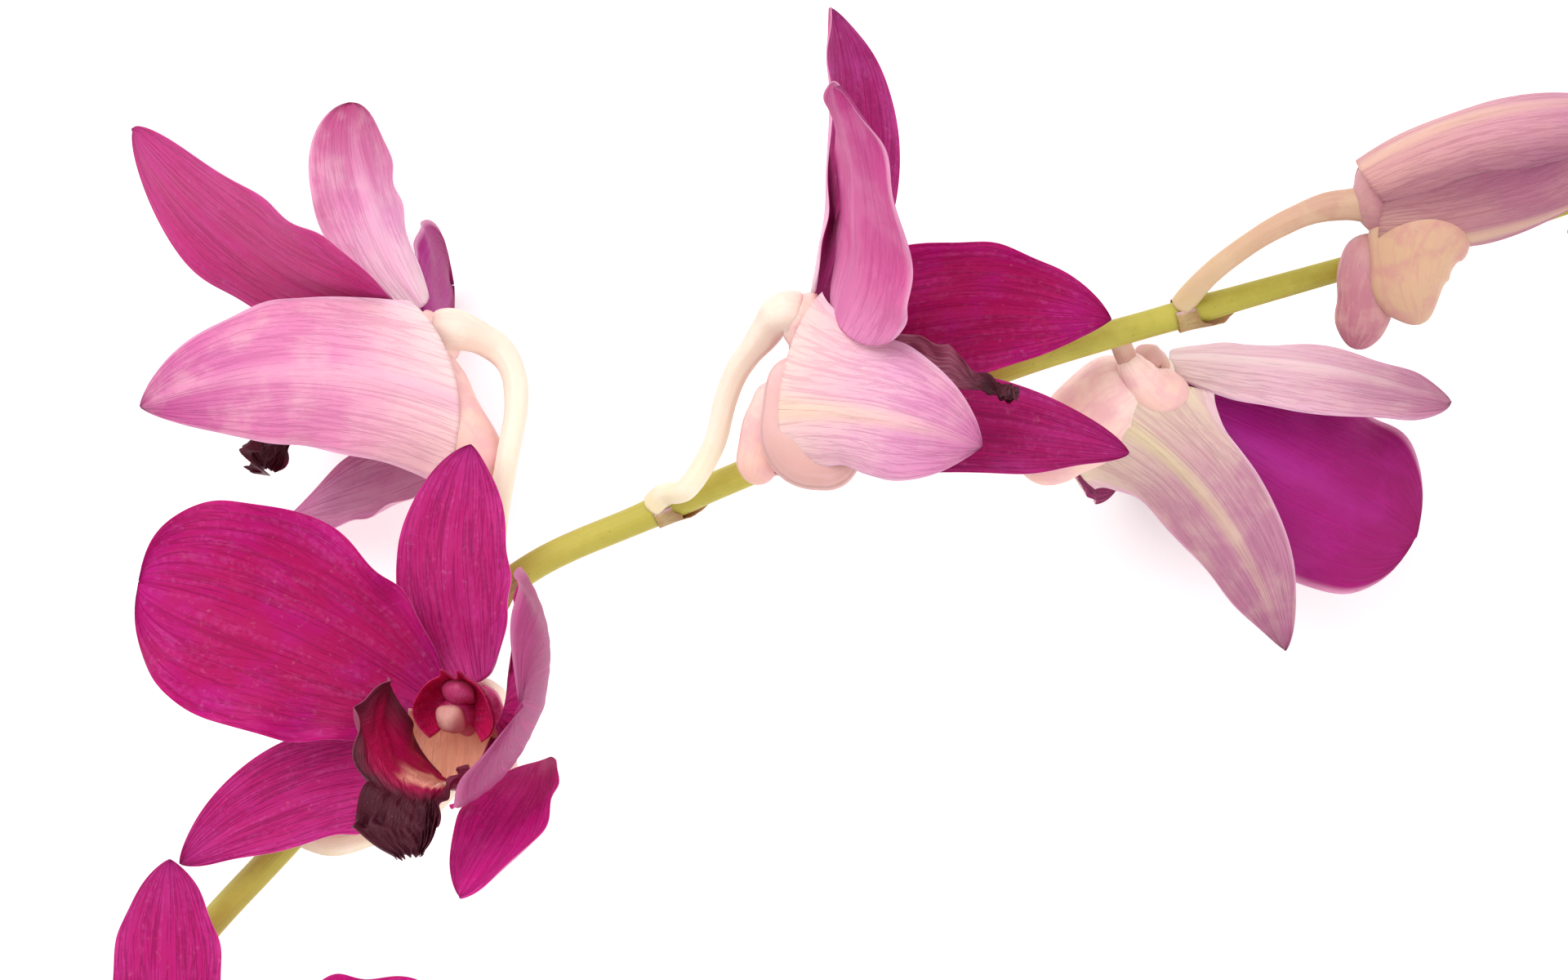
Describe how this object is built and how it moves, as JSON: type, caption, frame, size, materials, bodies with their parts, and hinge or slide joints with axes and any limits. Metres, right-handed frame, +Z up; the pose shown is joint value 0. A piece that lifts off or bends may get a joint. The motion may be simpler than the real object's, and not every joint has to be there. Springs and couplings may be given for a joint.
{
  "type": "cut orchid spray",
  "caption": "Cut dendrobium orchid spray lying on its side: an arched green stem carrying open magenta flowers and closed buds towards the tip.",
  "frame": {"origin": "bottom centre of the bounding box, on the surface the spray lies on", "axes": "+X along the spray towards its bud end, +Y across it towards the dorsal side of the flowers, +Z up from the surface"},
  "size_m": [0.3008, 0.2206, 0.072],
  "materials": {
    "stem": "smooth waxy yellow-green skin",
    "pedicel": "cream stalk, slightly glossy",
    "bract": "dry papery tan sheath",
    "petal": "satin magenta petal with fine veins",
    "sepal": "satin pink sepal, paler outside",
    "lip": "dark maroon, velvety and crinkled",
    "column": "waxy pink with a pale cap",
    "bud": "waxy dusky pink and tan"
  },
  "bodies": {
    "root": {"bract_a": "bract", "bract_b": "bract", "bract_c": "bract", "bract_d": "bract", "bract_f": "bract", "bud_f_core": "petal", "bud_f_dorsal_sepal": "bud", "bud_f_left_lateral_sepal": "bud", "bud_f_pedicel": "pedicel", "bud_f_right_lateral_sepal": "bud", "bud_g": "bud", "bud_g_pedicel": "pedicel", "bud_h": "bud", "bud_h_pedicel": "pedicel", "bud_i": "bud", "bud_i_pedicel": "pedicel", "bud_j": "bud", "bud_j_pedicel": "pedicel", "flower_a_column": "column", "flower_a_dorsal_sepal": "sepal", "flower_a_left_lateral_sepal": "sepal", "flower_a_left_petal": "petal", "flower_a_lip": "lip", "flower_a_pedicel": "pedicel", "flower_a_right_lateral_sepal": "sepal", "flower_a_right_petal": "petal", "flower_b_column": "column", "flower_b_dorsal_sepal": "sepal", "flower_b_left_lateral_sepal": "sepal", "flower_b_left_petal": "petal", "flower_b_lip": "lip", "flower_b_pedicel": "pedicel", "flower_b_right_lateral_sepal": "sepal", "flower_b_right_petal": "petal", "flower_c_column": "column", "flower_c_dorsal_sepal": "sepal", "flower_c_left_lateral_sepal": "sepal", "flower_c_left_petal": "petal", "flower_c_lip": "lip", "flower_c_pedicel": "pedicel", "flower_c_right_lateral_sepal": "sepal", "flower_c_right_petal": "petal", "flower_d_column": "column", "flower_d_dorsal_sepal": "sepal", "flower_d_left_lateral_sepal": "sepal", "flower_d_left_petal": "petal", "flower_d_lip": "lip", "flower_d_pedicel": "pedicel", "flower_d_right_lateral_sepal": "sepal", "flower_d_right_petal": "petal", "flower_e_column": "column", "flower_e_dorsal_sepal": "sepal", "flower_e_left_lateral_sepal": "sepal", "flower_e_left_petal": "petal", "flower_e_lip": "lip", "flower_e_pedicel": "pedicel", "flower_e_right_lateral_sepal": "sepal", "flower_e_right_petal": "petal", "stem": "stem"}
  },
  "joints": []
}
